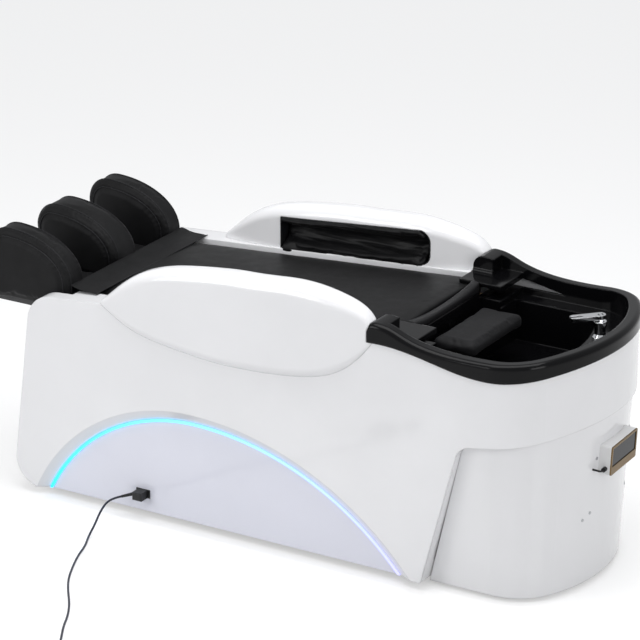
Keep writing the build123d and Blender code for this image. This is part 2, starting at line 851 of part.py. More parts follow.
lever_height = mixer_top + seat_gap + cartridge_height
lever_plane = Plane(
    origin=(foot_x + mixer_at, mixer_across, lever_height),
    x_dir=(math.cos(lever_way), math.sin(lever_way), 0),
    z_dir=(0, 0, 1),
)
cartridge_plane = lever_plane.offset(-cartridge_height)
cheek = lever_width / 4
with BuildPart() as cartridge:
    with BuildSketch(cartridge_plane) as dome_plan:
        Circle(cartridge_radius)
    extrude(to_extrude=dome_plan.sketch, amount=cartridge_height)
    fillet(cartridge.edges().group_by(Axis.Z)[-1], cartridge_height / 4)
    with BuildSketch(cartridge_plane) as tongue_plan:
        Rectangle(2 * (lever_pin_radius + lever_tongue_margin), 2 * cheek)
    extrude(to_extrude=tongue_plan.sketch, amount=cartridge_height + lever_clearance + lever_thickness)
    pin_plane = Plane(
        origin=lever_plane.from_local_coords((0, 0, lever_clearance + lever_thickness / 2)),
        x_dir=lever_plane.x_dir, z_dir=lever_plane.y_dir,
    )
    with Locations(pin_plane):
        Cylinder(lever_pin_radius, lever_width)
finish(cartridge, "mixer_cartridge")

with BuildPart() as lever:
    with BuildSketch(lever_plane.offset(lever_clearance)) as lever_plan:
        with Locations((lever_length / 2 - lever_width / 2, 0)):
            RectangleRounded(lever_length, lever_width, lever_round_share * lever_width)
        with Locations((lever_length - lever_width / 2 - lever_slot_length / 2, 0)):
            RectangleRounded(
                lever_slot_length, lever_slot_width, lever_round_share * lever_slot_width,
                mode=Mode.SUBTRACT,
            )
        tongue_hole = 2 * (lever_pin_radius + lever_tongue_margin + lever_tongue_gap)
        Rectangle(tongue_hole, 2 * (cheek + seat_gap), mode=Mode.SUBTRACT)
    extrude(to_extrude=lever_plan.sketch, amount=lever_thickness)
    with Locations(pin_plane):
        Cylinder(lever_pin_radius + lever_pin_gap, lever_width + overrun, mode=Mode.SUBTRACT)
finish(lever, "mixer_lever")

# Hand shower in its holder, with the hose and the pipes below
holder_top = ledge_height + holder_height
shower_middle = (foot_x + shower_at, shower_across)
with BuildPart() as holder:
    with Locations((*shower_middle, ledge_height + holder_height / 2)):
        Cylinder(holder_radius, holder_height)
        Cylinder(shower_grip_radius + holder_bore_gap, holder_height, mode=Mode.SUBTRACT)
finish(holder, "shower_holder")

grip_low = holder_top - shower_grip_length
with BuildPart() as shower:
    with Locations((*shower_middle, holder_top + seat_gap + shower_head_length / 2)):
        Cylinder(shower_head_radius, shower_head_length)
    fillet(shower.edges().group_by(Axis.Z)[-1], shower_head_radius / 4)
    with Locations((*shower_middle, (holder_top + seat_gap + grip_low) / 2)):
        Cylinder(shower_grip_radius, holder_top + seat_gap - grip_low)
finish(shower, "hand_shower")

with BuildPart() as hose:
    with Locations((*shower_middle, (grip_low + hose_low_height) / 2)):
        Cylinder(hose_radius, grip_low - hose_low_height)
finish(hose, "shower_hose")

mixer_tail = ledge_height - 4 * bowl_wall
with BuildLine() as pipe_route:
    FilletPolyline(
        (foot_x + mixer_at, mixer_across, mixer_tail),
        (foot_x + mixer_at, mixer_across, hose_low_height - 3 * pipe_radius),
        (foot_x + shower_at, shower_across, hose_low_height - 3 * pipe_radius),
        (foot_x + shower_at, shower_across, hose_low_height),
        radius=2 * pipe_radius,
    )
with BuildPart() as pipes:
    with BuildSketch(Plane(origin=pipe_route.line @ 0, z_dir=pipe_route.line % 0)) as pipe_ring:
        Circle(pipe_radius)
    sweep(pipe_ring.sketch, path=pipe_route.line)
finish(pipes, "water_pipe")

# Arm covers: hollow pods that sit on the deck and hang over the side walls
def pod_sections(side, inset):
    """Rounded sections of a pod from its foot tip to its head tip, drawn in by inset."""
    for along, low, high, girth in arm_section_shares:
        reach = arm_high_height - arm_low_height
        low_z = arm_low_height + low * reach + inset
        high_z = arm_low_height + high * reach - inset
        outer = body_half_width + arm_wall / 2 + girth * arm_bulge - inset
        inner = arm_inner + (1 - girth) * arm_inner_draw + inset
        at = arm_at + along * arm_length + inset * (1 - 2 * along)
        with BuildSketch(Plane.YZ.offset(foot_x + at)) as section:
            with Locations((side * (outer + inner) / 2, (low_z + high_z) / 2)):
                width = outer - inner
                height = high_z - low_z
                RectangleRounded(width, height, arm_round_share * min(width, height))
        yield section.sketch


def recess_outline(inset):
    """Points of the arm recess seen from the side, drawn in by inset."""
    foot_low = deck(recess_at) + recess_rise
    head_low = deck(recess_end_at) + recess_rise
    return (
        (recess_at + inset, foot_low + inset),
        (recess_end_at - inset, head_low + inset),
        (recess_end_at - inset, head_low + recess_head_tall - inset),
        (recess_at + inset, foot_low + recess_foot_tall - inset),
    )


def recess_solid(side, inset, inner, outer, mode):
    """Recess-shaped solid between two distances from the middle, with a rounded head end."""
    points = recess_outline(inset)
    high_y = max(side * inner, side * outer)
    with BuildSketch(Plane.XZ.offset(-high_y)) as outline:
        with BuildLine():
            Polyline(*[(foot_x + at, height) for at, height in points], close=True)
        make_face()
        fillet(outline.vertices().group_by(Axis.X)[-1], recess_round - inset)
    extrude(to_extrude=outline.sketch, amount=outer - inner, mode=mode)


def sleeve_face(side, at, draw):
    """Section of the sleeve: two lips and a hollow between them, drawn in by draw."""
    along = (at - recess_at) / recess_length
    tall = recess_foot_tall + (recess_head_tall - recess_foot_tall) * along
    low_z = deck(at) + recess_rise + recess_wall + 2 * seat_gap + draw
    high_z = deck(at) + recess_rise + tall - recess_wall - 2 * seat_gap - draw
    lip = arm_inner - sleeve_lip
    back = arm_inner + recess_depth - recess_wall - seat_gap
    top_lip = (side * lip, high_z - sleeve_edge)
    low_lip = (side * arm_inner, low_z + sleeve_edge)
    hollow = (side * (arm_inner + sleeve_hollow), (low_z + high_z) / 2)
    with BuildSketch(Plane.YZ.offset(foot_x + at)) as c_face:
        with BuildLine():
            Polyline(
                low_lip, (side * arm_inner, low_z), (side * back, low_z), (side * back, high_z),
                (side * lip, high_z), top_lip,
            )
            ThreePointArc(top_lip, hollow, low_lip)
        make_face()
    return c_face.sketch


with BuildPart() as body_envelope:
    extrude(to_extrude=side_region(0, body_floor), amount=body_half_width, both=True)

for side, name in ((-1, "left"), (1, "right")):
    recess_back = arm_inner + recess_depth
    with BuildPart() as pod:
        loft(list(pod_sections(side, 0)))
        loft(list(pod_sections(side, arm_wall)), mode=Mode.SUBTRACT)
        add(body_envelope.part, mode=Mode.SUBTRACT)
        add(basin.part, mode=Mode.SUBTRACT)
        recess_solid(side, -seat_gap, arm_inner - overrun, recess_back, Mode.SUBTRACT)
    finish(pod, f"arm_cover_{name}")
    with BuildPart() as channel:
        recess_solid(side, 0, arm_inner + recess_mouth_gap, recess_back, Mode.ADD)
        recess_solid(side, recess_wall, arm_inner - overrun, recess_back - recess_wall, Mode.SUBTRACT)
    finish(channel, f"arm_channel_{name}")
    with BuildPart() as sleeve:
        end = recess_end_at - recess_wall - seat_gap
        corner = recess_round - recess_wall
        faces = [
            sleeve_face(side, recess_at + recess_wall + seat_gap, 0),
            sleeve_face(side, end - corner, 0),
            sleeve_face(side, end - corner / 3, corner * sleeve_corner_share),
        ]
        loft(faces, ruled=True)
    finish(sleeve, f"arm_sleeve_{name}")

# Control panel: box cut to the cover's curve, bezel, display, gland and lead
with BuildPart() as control_box:
    with BuildSketch(control_seat.offset(-control_seat_depth)) as box_face:
        RectangleRounded(control_width, control_tall, control_round)
    extrude(to_extrude=box_face.sketch, amount=control_seat_depth + control_depth)
    add(cover_outer.part, mode=Mode.SUBTRACT)
finish(control_box, "control_box")

display_width = control_width - 2 * bezel_rim
display_tall = control_tall - bezel_rim - display_low_margin
display_up = (display_low_margin - bezel_rim) / 2
with BuildPart() as bezel:
    with BuildSketch(control_seat.offset(control_depth)) as bezel_face:
        RectangleRounded(control_width, control_tall, control_round)
        with Locations((0, display_up)):
            Rectangle(display_width, display_tall, mode=Mode.SUBTRACT)
    extrude(to_extrude=bezel_face.sketch, amount=bezel_thickness)
finish(bezel, "control_bezel")

with BuildPart() as display:
    with BuildSketch(control_seat.offset(control_depth)) as display_face:
        with Locations((0, display_up)):
            Rectangle(display_width - 2 * seat_gap, display_tall - 2 * seat_gap)
    extrude(to_extrude=display_face.sketch, amount=display_thickness)
finish(display, "control_display")

gland_root = control_seat.from_local_coords((-control_width / 2, -gland_drop, control_depth / 2))
gland_plane = Plane(origin=gland_root, x_dir=control_seat.z_dir, z_dir=-control_seat.x_dir)
with BuildPart() as gland:
    with BuildSketch(gland_plane) as gland_ring:
        Circle(gland_radius)
        Circle(lead_radius, mode=Mode.SUBTRACT)
    extrude(to_extrude=gland_ring.sketch, amount=gland_length)
finish(gland, "control_gland")

with BuildLine() as lead_route:
    FilletPolyline(
        gland_root,
        control_seat.from_local_coords((lead_across, -gland_drop, control_depth / 2)),
        control_seat.from_local_coords((lead_across, -gland_drop, -lead_depth)),
        radius=3 * lead_radius,
    )
with BuildPart() as lead:
    with BuildSketch(Plane(origin=lead_route.line @ 0, z_dir=lead_route.line % 0)) as lead_ring:
        Circle(lead_radius)
    sweep(lead_ring.sketch, path=lead_route.line)
finish(lead, "control_lead")

# Mattress on its board
board_rise = math.sqrt(1 + bed_slope ** 2)
with BuildPart() as mattress_board:
    slab(
        (
            (well_foot_at, board_under(well_foot_at)),
            (board_head_at, board_under(board_head_at)),
            (board_head_at, board_under(board_head_at) + board_thickness),
            (well_foot_at, board_under(well_foot_at) + board_thickness),
        ),
        -board_half_width, board_half_width,
    )
finish(mattress_board, "mattress_board")

with BuildPart() as mattress:
    with BuildSketch(Plane.YZ.offset(foot_x + well_foot_at)) as mattress_face:
        half = well_half_width - mattress_side_gap
        low = board_under(well_foot_at) + board_thickness
        edge = low + mattress_thickness - mattress_crown
        with BuildLine():
            Polyline((-half, edge), (-half, low), (half, low), (half, edge))
            ThreePointArc((half, edge), (0, low + mattress_thickness), (-half, edge))
        make_face()
        fillet(mattress_face.vertices().group_by(Axis.Z)[-1], mattress_edge_round)
    extrude(
        to_extrude=mattress_face.sketch,
        amount=(mattress_head_at - well_foot_at) * board_rise,
        dir=(1, 0, bed_slope),
    )
finish(mattress, "mattress")

# Calf unit: board, three upright air cushions, two pads, flap, rails and drive rod
calf_top = calf_board_height + board_thickness
fin_top_height = fin_toe_height + fin_top_rise
fin_shoulder_height = fin_toe_height - fin_shoulder_drop
with BuildPart() as calf_board:
    block(
        -calf_board_foot_overhang, calf_board_head_at, -calf_board_half_width, calf_board_half_width,
        calf_board_height, calf_top,
    )
finish(calf_board, "calf_board")


def fin(across, thickness, edge_round):
    """Upright cushion whose side view is two quarter ellipses on a straight foot."""
    foot_low = (foot_x - fin_overhang + fin_toe_draw, calf_top)
    foot_high = (foot_x - fin_overhang, fin_toe_height)
    head_high = (foot_x + fin_head_at, fin_shoulder_height)
    head_low = (foot_x + fin_head_at, calf_top)
    top = foot_x + fin_top_at
    with BuildSketch(Plane.XZ.offset(-across - thickness / 2)) as fin_side:
        with BuildLine():
            EllipticalCenterArc(
                (top, fin_shoulder_height), fin_head_at - fin_top_at,
                fin_top_height - fin_shoulder_height, start_angle=0, arc_size=90,
            )
            EllipticalCenterArc(
                (top, fin_toe_height), fin_overhang + fin_top_at,
                fin_top_height - fin_toe_height, start_angle=90, arc_size=90,
            )
            Polyline(foot_high, foot_low, head_low, head_high)
        make_face()
        fillet(fin_side.vertices().sort_by_distance(foot_low)[0], fin_toe_round)
    extrude(to_extrude=fin_side.sketch, amount=thickness)
    for place in (across - thickness / 2, across + thickness / 2):
        fillet(fin_part_edges(place), edge_round)


def fin_part_edges(place):
    """Outline edges of the fin in work that lie on one of its side faces, but for its foot."""
    sides = calf_fin.edges().filter_by_position(Axis.Y, place - seat_gap, place + seat_gap)
    return [edge for edge in sides if edge.center().Z > calf_top + seat_gap]


fins = (
    ("left", -fin_spacing, fin_side_thickness, fin_edge_round),
    ("middle", 0, fin_middle_thickness, fin_middle_edge_round),
    ("right", fin_spacing, fin_side_thickness, fin_edge_round),
)
for name, across, thickness, edge_round in fins:
    with BuildPart() as calf_fin:
        fin(across, thickness, edge_round)
    finish(calf_fin, f"calf_fin_{name}")

pad_inner = fin_middle_thickness / 2 + seat_gap
pad_outer = fin_spacing - fin_side_thickness / 2 - seat_gap
for side, name in ((-1, "left"), (1, "right")):
    with BuildPart() as calf_pad:
        block(
            -calf_pad_foot_overhang, calf_pad_head_at,
            min(side * pad_inner, side * pad_outer), max(side * pad_inner, side * pad_outer),
            calf_top, calf_top + calf_pad_thickness,
        )
        fillet(calf_pad.edges().group_by(Axis.Z)[-1], calf_pad_round)
    finish(calf_pad, f"calf_pad_{name}")

flap_low = board_under(flap_end_at) + board_thickness + mattress_thickness + 2 * seat_gap
flap_reach = flap_end_at - fin_head_at
with BuildPart() as calf_flap:
    slab(
        (
            (fin_head_at, flap_low + flap_rise - 2 * flap_thickness),
            (fin_head_at + flap_reach / 4, flap_low + flap_rise / 3),
            (fin_head_at + flap_reach / 2, flap_low),
            (flap_end_at, flap_low),
            (flap_end_at, flap_low + flap_thickness),
            (fin_head_at + flap_reach / 2, flap_low + flap_thickness),
            (fin_head_at + flap_reach / 4, flap_low + flap_rise / 3 + flap_thickness),
            (fin_head_at, flap_low + flap_rise - flap_thickness),
        ),
        -flap_half_width, flap_half_width,
    )
finish(calf_flap, "calf_flap")

rail_low = calf_board_height - rail_tall
rod_height = calf_board_height - rod_drop
with BuildPart() as slide_rails:
    for side in (-1, 1):
        block(
            rail_foot_at, rail_head_at, side * rail_across - rail_width / 2,
            side * rail_across + rail_width / 2, rail_low, calf_board_height,
        )
    block(
        rail_head_at - rail_strap, rail_head_at, -rail_across, rail_across, rail_low, calf_board_height
    )
finish(slide_rails, "calf_slide_rails")

with BuildPart() as calf_guides:
    for side in (-1, 1):
        outer = rail_across + rail_width / 2 + guide_gap
        low = rail_low - guide_gap
        inner_y = side * (rail_across - rail_width / 2 - guide_lip)
        outer_y = side * (outer + guide_thickness)
        block(
            guide_at, guide_end_at, min(inner_y, outer_y), max(inner_y, outer_y),
            slide_bar_height + tube, low,
        )
        wall_y = side * outer
        block(
            guide_at, guide_end_at, min(wall_y, outer_y), max(wall_y, outer_y),
            low, calf_board_height - guide_board_gap,
        )
finish(calf_guides, "calf_slide_guides")


def round_bar(start, end, across, height, radius, mode=Mode.ADD):
    """Round bar along the bed."""
    middle = Plane(origin=(foot_x + (start + end) / 2, across, height), z_dir=(1, 0, 0))
    with Locations(middle):
        Cylinder(radius, end - start, mode=mode)


with BuildPart() as actuator:
    round_bar(actuator_gland_at, actuator_end_at, 0, rod_height, actuator_radius)
    block(
        post_places_at[1] - tube / 2, post_places_at[1] + tube / 2, -actuator_radius, actuator_radius,
        slide_bar_height + tube, rod_height,
    )
    bore_end = (rod_end_at + actuator_end_at) / 2
    round_bar(actuator_gland_at, bore_end, 0, rod_height, rod_radius + rod_gap, mode=Mode.SUBTRACT)
finish(actuator, "calf_actuator")

with BuildPart() as rod:
    round_bar(rail_head_at, rod_end_at, 0, rod_height, rod_radius)
finish(rod, "calf_actuator_rod")

# Steel frame of square tube, with levelling feet and the units on its tray
frame_top = frame_height + tube


def frame_bars(inset, mode):
    """All bars of the frame, drawn in by inset on their long faces."""
    thick = tube / 2 - inset
    for side in (-1, 1):
        middle = side * frame_across
        block(
            frame_foot_at, frame_head_at, middle - thick, middle + thick,
            frame_height + inset, frame_top - inset, mode=mode,
        )
        for at in post_places_at:
            slab(
                (
                    (at - thick, frame_height + inset), (at + thick, frame_height + inset),
                    (at + thick, board_under(at + thick)), (at - thick, board_under(at - thick)),
                ),
                middle - thick, middle + thick, mode=mode,
            )
    cross_bars = [(at, frame_height) for at in floor_bar_places_at]
    cross_bars += [(at, slide_bar_height) for at in post_places_at[:2]]
    cross_bars += [(at, brace_height) for at in post_places_at[2:]]
    for at, low in cross_bars:
        block(
            at - thick, at + thick, -frame_across, frame_across, low + inset, low + tube - inset,
            mode=mode,
        )


with BuildPart() as base_frame:
    frame_bars(0, Mode.ADD)
    frame_bars(tube_wall, Mode.SUBTRACT)
finish(base_frame, "base_frame")

with BuildPart() as levelling_feet:
    for at in foot_places_at:
        for side in (-1, 1):
            with Locations((foot_x + at, side * frame_across, foot_thickness / 2)):
                Cylinder(foot_radius, foot_thickness)
            with Locations((foot_x + at, side * frame_across, frame_height / 2)):
                Cylinder(foot_stud_radius, frame_height)
finish(levelling_feet, "levelling_feet")

tray_top = frame_top + tray_thickness
with BuildPart() as tray:
    block(
        service_tray_at, service_tray_at + service_tray_length,
        -frame_across - tube / 2, frame_across + tube / 2, frame_top, tray_top,
    )
finish(tray, "service_tray")

for name, size, across in (
    ("air_pump", air_pump_size, air_pump_across),
    ("power_supply", power_supply_size, power_supply_across),
):
    with BuildPart() as unit:
        block(
            service_tray_at, service_tray_at + size[0], across - size[1] / 2, across + size[1] / 2,
            tray_top, tray_top + size[2],
        )
        fillet(unit.edges().filter_by(Axis.Z), wall)
    finish(unit, name)

with BuildPart() as heater:
    with Locations((foot_x + heater_at, heater_across, tray_top + heater_length / 2)):
        Cylinder(heater_radius, heater_length)
    fillet(heater.edges().group_by(Axis.Z)[-1], heater_radius / 3)
finish(heater, "water_heater")

# Mains inlet in the left side panel, connector, cord, coil and plug
side_panel = -(body_half_width - arch_depth)
inlet_low = inlet_height - inlet_hollow[1] / 2
with BuildPart() as inlet:
    block(
        inlet_at - inlet_flange[0] / 2, inlet_at + inlet_flange[0] / 2,
        side_panel - inlet_thickness, side_panel,
        inlet_height - inlet_flange[1] / 2, inlet_height + inlet_flange[1] / 2,
    )
    block(
        inlet_at - inlet_body[0] / 2, inlet_at + inlet_body[0] / 2,
        side_panel, side_panel + inlet_body_depth,
        inlet_height - inlet_body[1] / 2, inlet_height + inlet_body[1] / 2,
    )
    block(
        inlet_at - inlet_hollow[0] / 2, inlet_at + inlet_hollow[0] / 2,
        side_panel - inlet_thickness, side_panel - inlet_thickness + inlet_hollow_depth,
        inlet_low, inlet_low + inlet_hollow[1], mode=Mode.SUBTRACT,
    )
finish(inlet, "mains_inlet")

connector_face = side_panel - inlet_thickness
sleeve_way = Vector(sleeve_direction).normalized()
sleeve_root = Vector(
    foot_x + inlet_at - sleeve_root_in,
    side_panel - sleeve_root_out,
    inlet_height + sleeve_root_rise,
)
cord_exit = sleeve_root + sleeve_way * connector_sleeve_length
with BuildPart() as connector:
    block(
        inlet_at - connector_size[0] / 2, inlet_at + connector_size[0] / 2,
        connector_face - connector_size[1], connector_face,
        inlet_height - connector_size[2] / 2, inlet_height + connector_size[2] / 2,
    )
    fillet(connector.edges().group_by(Axis.Y)[0], control_round)
    with Locations(Plane(origin=(sleeve_root + cord_exit) * 0.5, z_dir=sleeve_way)):
        Cone(connector_sleeve_radius, connector_sleeve_tip, connector_sleeve_length)
    block(
        inlet_at - inlet_hollow[0] / 2 + seat_gap, inlet_at + inlet_hollow[0] / 2 - seat_gap,
        connector_face, connector_face + inlet_hollow_depth - seat_gap,
        inlet_low + seat_gap, inlet_low + inlet_hollow[1] - seat_gap,
    )
finish(connector, "mains_connector")

route = [cord_exit, cord_exit + sleeve_way * cord_lead]
route += [Vector(foot_x + at, across, height) for at, across, height in cord_places]
cord_radii = []
for before, here, after in zip(route, route[1:], route[2:]):
    shorter = min((here - before).length, (after - here).length)
    turn = (here - before).get_angle(after - here)
    cord_radii.append(cord_turn_share * shorter / math.tan(math.radians(turn) / 2))
with BuildLine() as cord_route:
    FilletPolyline(*route, radius=cord_radii)
with BuildPart() as cord:
    with BuildSketch(Plane(origin=cord_route.line @ 0, z_dir=cord_route.line % 0)) as cord_ring:
        Circle(cord_radius)
    sweep(cord_ring.sketch, path=cord_route.line)
finish(cord, "mains_cord")
print("cord radii", [round(radius) for radius in cord_radii])
cord_length = sum(edge.length for edge in cord_route.line.edges())
cord_section = math.pi * cord_radius ** 2
print("cord length", round(cord_length), "tube share", cord.part.volume / cord_section / cord_length)

# Coil of the spare cord: it spirals in on the floor, climbs a layer and spirals out again
entry = (route[-1] - route[-2]).normalized()
coil_plane = Plane(origin=route[-1], x_dir=(entry.Y, -entry.X, 0), z_dir=(0, 0, 1))
radii = [coil_radius + coil_step / 2 * (coil_halves / 2 - 0.5 - half) for half in range(coil_halves)]
radii += [radii[-1] - coil_step / 2] + radii[:0:-1]
with BuildLine() as coil_route:
    place = 0
    layer = 0
    heading = 1
    for half, radius in enumerate(radii):
        climb = coil_step if half == coil_halves else 0
        start = (place, 0, layer)
        swing = heading * math.hypot(radius, climb / 2)
        middle = (place + heading * radius, swing, layer + climb / 2)
        end = (place + heading * 2 * radius, 0, layer + climb)
        ThreePointArc(*[coil_plane.from_local_coords(point) for point in (start, middle, end)])
        place = end[0]
        layer = end[2]
        heading = -heading
    tail = (place, heading * coil_tail, layer)
    Line(coil_plane.from_local_coords((place, 0, layer)), coil_plane.from_local_coords(tail))
with BuildPart() as coil:
    with BuildSketch(Plane(origin=coil_route.line @ 0, z_dir=coil_route.line % 0)) as coil_ring:
        Circle(cord_radius)
    sweep(coil_ring.sketch, path=coil_route.line)
finish(coil, "mains_cord_coil")
coil_length = sum(edge.length for edge in coil_route.line.edges())
print("coil length", round(coil_length), "tube share", coil.part.volume / cord_section / coil_length)

coil_steps = 24
along_coil = 0
coil_points = []
for edge in coil_route.line.edges():
    for step in range(coil_steps):
        coil_points.append((along_coil + edge.length * step / coil_steps, edge @ (step / coil_steps)))
    along_coil += edge.length
least_gap = min(
    (far_point - near_point).length
    for near_along, near_point in coil_points
    for far_along, far_point in coil_points
    if far_along - near_along > coil_radius
) - 2 * cord_radius
print("least gap of the coil to itself", round(least_gap, 2))

plug_root = coil_plane.from_local_coords(tail)
plug_tall = 2 * (cord_radius + coil_step)
plug_plane = Plane(origin=plug_root, x_dir=(0, 0, 1), z_dir=entry * heading)
with BuildPart() as plug:
    with BuildSketch(plug_plane) as plug_face:
        RectangleRounded(plug_tall, plug_width, control_round)
    extrude(to_extrude=plug_face.sketch, amount=plug_length)
    with BuildSketch(plug_plane.offset(plug_length)) as pin_faces:
        with Locations((0, plug_pin_spacing / 2), (0, -plug_pin_spacing / 2)):
            Circle(plug_pin_radius)
    extrude(to_extrude=pin_faces.sketch, amount=plug_pin_length)
finish(plug, "mains_plug")
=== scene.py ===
"""Looks of the hair washing bed: materials, cushions, cord, floor, light and camera, in metres."""

import json
import math

import bmesh
import bpy
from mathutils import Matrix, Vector, noise
from mathutils.kdtree import KDTree

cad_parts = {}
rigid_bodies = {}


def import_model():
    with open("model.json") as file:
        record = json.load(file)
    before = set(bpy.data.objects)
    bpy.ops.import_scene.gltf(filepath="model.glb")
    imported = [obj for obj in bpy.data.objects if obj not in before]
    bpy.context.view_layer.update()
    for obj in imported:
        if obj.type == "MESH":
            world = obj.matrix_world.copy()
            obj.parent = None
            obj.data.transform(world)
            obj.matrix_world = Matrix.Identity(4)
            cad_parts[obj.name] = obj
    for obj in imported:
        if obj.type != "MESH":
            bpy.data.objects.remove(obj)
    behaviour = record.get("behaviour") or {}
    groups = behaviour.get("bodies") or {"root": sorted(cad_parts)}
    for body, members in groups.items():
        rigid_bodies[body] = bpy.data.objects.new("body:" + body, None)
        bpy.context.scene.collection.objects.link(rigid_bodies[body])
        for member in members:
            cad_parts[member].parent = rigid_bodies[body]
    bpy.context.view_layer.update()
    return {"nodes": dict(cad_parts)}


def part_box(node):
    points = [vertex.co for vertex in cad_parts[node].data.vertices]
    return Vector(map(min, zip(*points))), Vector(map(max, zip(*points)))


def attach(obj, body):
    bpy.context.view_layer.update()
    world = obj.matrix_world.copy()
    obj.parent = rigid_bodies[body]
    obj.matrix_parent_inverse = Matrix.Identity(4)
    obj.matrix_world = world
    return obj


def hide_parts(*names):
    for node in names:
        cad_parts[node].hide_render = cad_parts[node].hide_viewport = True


for leftover in list(bpy.data.objects):
    bpy.data.objects.remove(leftover)
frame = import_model()

MM = 0.001
basin_from_foot = 1281 * MM
foot_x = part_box("basin")[0].x - basin_from_foot
bed_slope = 0.07
deck_start_at = 195 * MM
deck_start_height = 679 * MM


def new_material(name, colour, roughness, metallic=0.0, coat=0.0, specular=0.5):
    """Plain Principled material with the given values."""
    material = bpy.data.materials.new(name)
    material.use_nodes = True
    shader = material.node_tree.nodes["Principled BSDF"]
    shader.inputs["Base Color"].default_value = (*colour, 1)
    shader.inputs["Roughness"].default_value = roughness
    shader.inputs["Metallic"].default_value = metallic
    shader.inputs["Coat Weight"].default_value = coat
    shader.inputs["Coat Roughness"].default_value = 0.04
    shader.inputs["Specular IOR Level"].default_value = specular
    return material


def node(material, kind, **settings):
    """Adds a node to a material and sets its properties and inputs."""
    made = material.node_tree.nodes.new(kind)
    for name, value in settings.items():
        if hasattr(made, name):
            setattr(made, name, value)
        else:
            made.inputs[name.replace("_", " ").title()].default_value = value
    return made


def link(material, start, start_socket, end, end_socket):
    """Joins an output of one node to an input of another."""
    material.node_tree.links.new(start.outputs[start_socket], end.inputs[end_socket])


def place_on(material, stretch=(1, 1, 1)):
    """Object coordinates, stretched along the axes."""
    coordinates = node(material, "ShaderNodeTexCoord")
    mapping = node(material, "ShaderNodeMapping")
    mapping.inputs["Scale"].default_value = stretch
    link(material, coordinates, "Object", mapping, "Vector")
    return mapping


def varied(material, socket, low, high, scale, stretch=(1, 1, 1), detail=3):
    """Drives one input of the shader by noise between two values."""
    place = place_on(material, stretch)
    texture = node(material, "ShaderNodeTexNoise", scale=scale, detail=detail)
    reach = node(material, "ShaderNodeMapRange")
    reach.inputs["To Min"].default_value = low
    reach.inputs["To Max"].default_value = high
    shader = material.node_tree.nodes["Principled BSDF"]
    link(material, place, "Vector", texture, "Vector")
    link(material, texture, "Fac", reach, "Value")
    link(material, reach, "Result", shader, socket)


def tinted(material, dark, light, scale, stretch=(1, 1, 1)):
    """Base colour that drifts between two near colours."""
    place = place_on(material, stretch)
    texture = node(material, "ShaderNodeTexNoise", scale=scale, detail=4)
    ramp = node(material, "ShaderNodeValToRGB")
    ramp.color_ramp.elements[0].position = 0.3
    ramp.color_ramp.elements[1].position = 0.7
    ramp.color_ramp.elements[0].color = (*dark, 1)
    ramp.color_ramp.elements[1].color = (*light, 1)
    link(material, place, "Vector", texture, "Vector")
    link(material, texture, "Fac", ramp, "Fac")
    link(material, ramp, "Color", material.node_tree.nodes["Principled BSDF"], "Base Color")


def bumped(material, texture, output, strength, distance, soft_edge=0.0, stretch=(1, 1, 1)):
    """Relief from a texture, over edges that are rounded by soft_edge."""
    place = place_on(material, stretch)
    bump = node(material, "ShaderNodeBump")
    bump.inputs["Strength"].default_value = strength
    bump.inputs["Distance"].default_value = distance
    link(material, place, "Vector", texture, "Vector")
    link(material, texture, output, bump, "Height")
    if soft_edge:
        edge = node(material, "ShaderNodeBevel", samples=6)
        edge.inputs["Radius"].default_value = soft_edge
        link(material, edge, "Normal", bump, "Normal")
    link(material, bump, "Normal", material.node_tree.nodes["Principled BSDF"], "Normal")


def moulded(
    name, colour, roughness, coat=0.0, soft_edge=0.002, grain=0.05, metallic=0.0, specular=0.5
):
    """Moulded or painted surface: faint waviness, varied gloss and softened edges."""
    material = new_material(name, colour, roughness, metallic, coat, specular)
    varied(material, "Roughness", roughness * 0.8, roughness * 1.25, 9)
    dark = [channel * 0.96 for channel in colour]
    tinted(material, dark, colour, 3)
    texture = node(material, "ShaderNodeTexNoise", scale=260, detail=2)
    bumped(material, texture, "Fac", grain, 0.0004, soft_edge)
    return material


def brushed(name, colour, roughness, along=(1, 40, 40), soft_edge=0.001):
    """Metal with fine brushing along one axis."""
    material = new_material(name, colour, roughness, metallic=1.0)
    varied(material, "Roughness", roughness * 0.7, roughness * 1.4, 30, along)
    tinted(material, [channel * 0.9 for channel in colour], colour, 22, along)
    texture = node(material, "ShaderNodeTexNoise", scale=30, detail=4)
    bumped(material, texture, "Fac", 0.08, 0.0002, soft_edge, along)
    return material


def leatherette(name, colour, roughness, grain=750, strength=0.35, specular=0.16):
    """Coated cloth with a fine pebble grain and soft wear."""
    material = new_material(name, colour, roughness, specular=specular)
    material.node_tree.nodes["Principled BSDF"].inputs["Sheen Weight"].default_value = 0.03
    dark = [channel * 0.7 for channel in colour]
    light = [channel * 1.25 for channel in colour]
    tinted(material, dark, light, 14)
    varied(material, "Roughness", roughness * 0.88, roughness * 1.12, 40)
    texture = node(material, "ShaderNodeTexVoronoi", feature="SMOOTH_F1", scale=grain)
    bumped(material, texture, "Distance", strength, 0.0004)
    return material


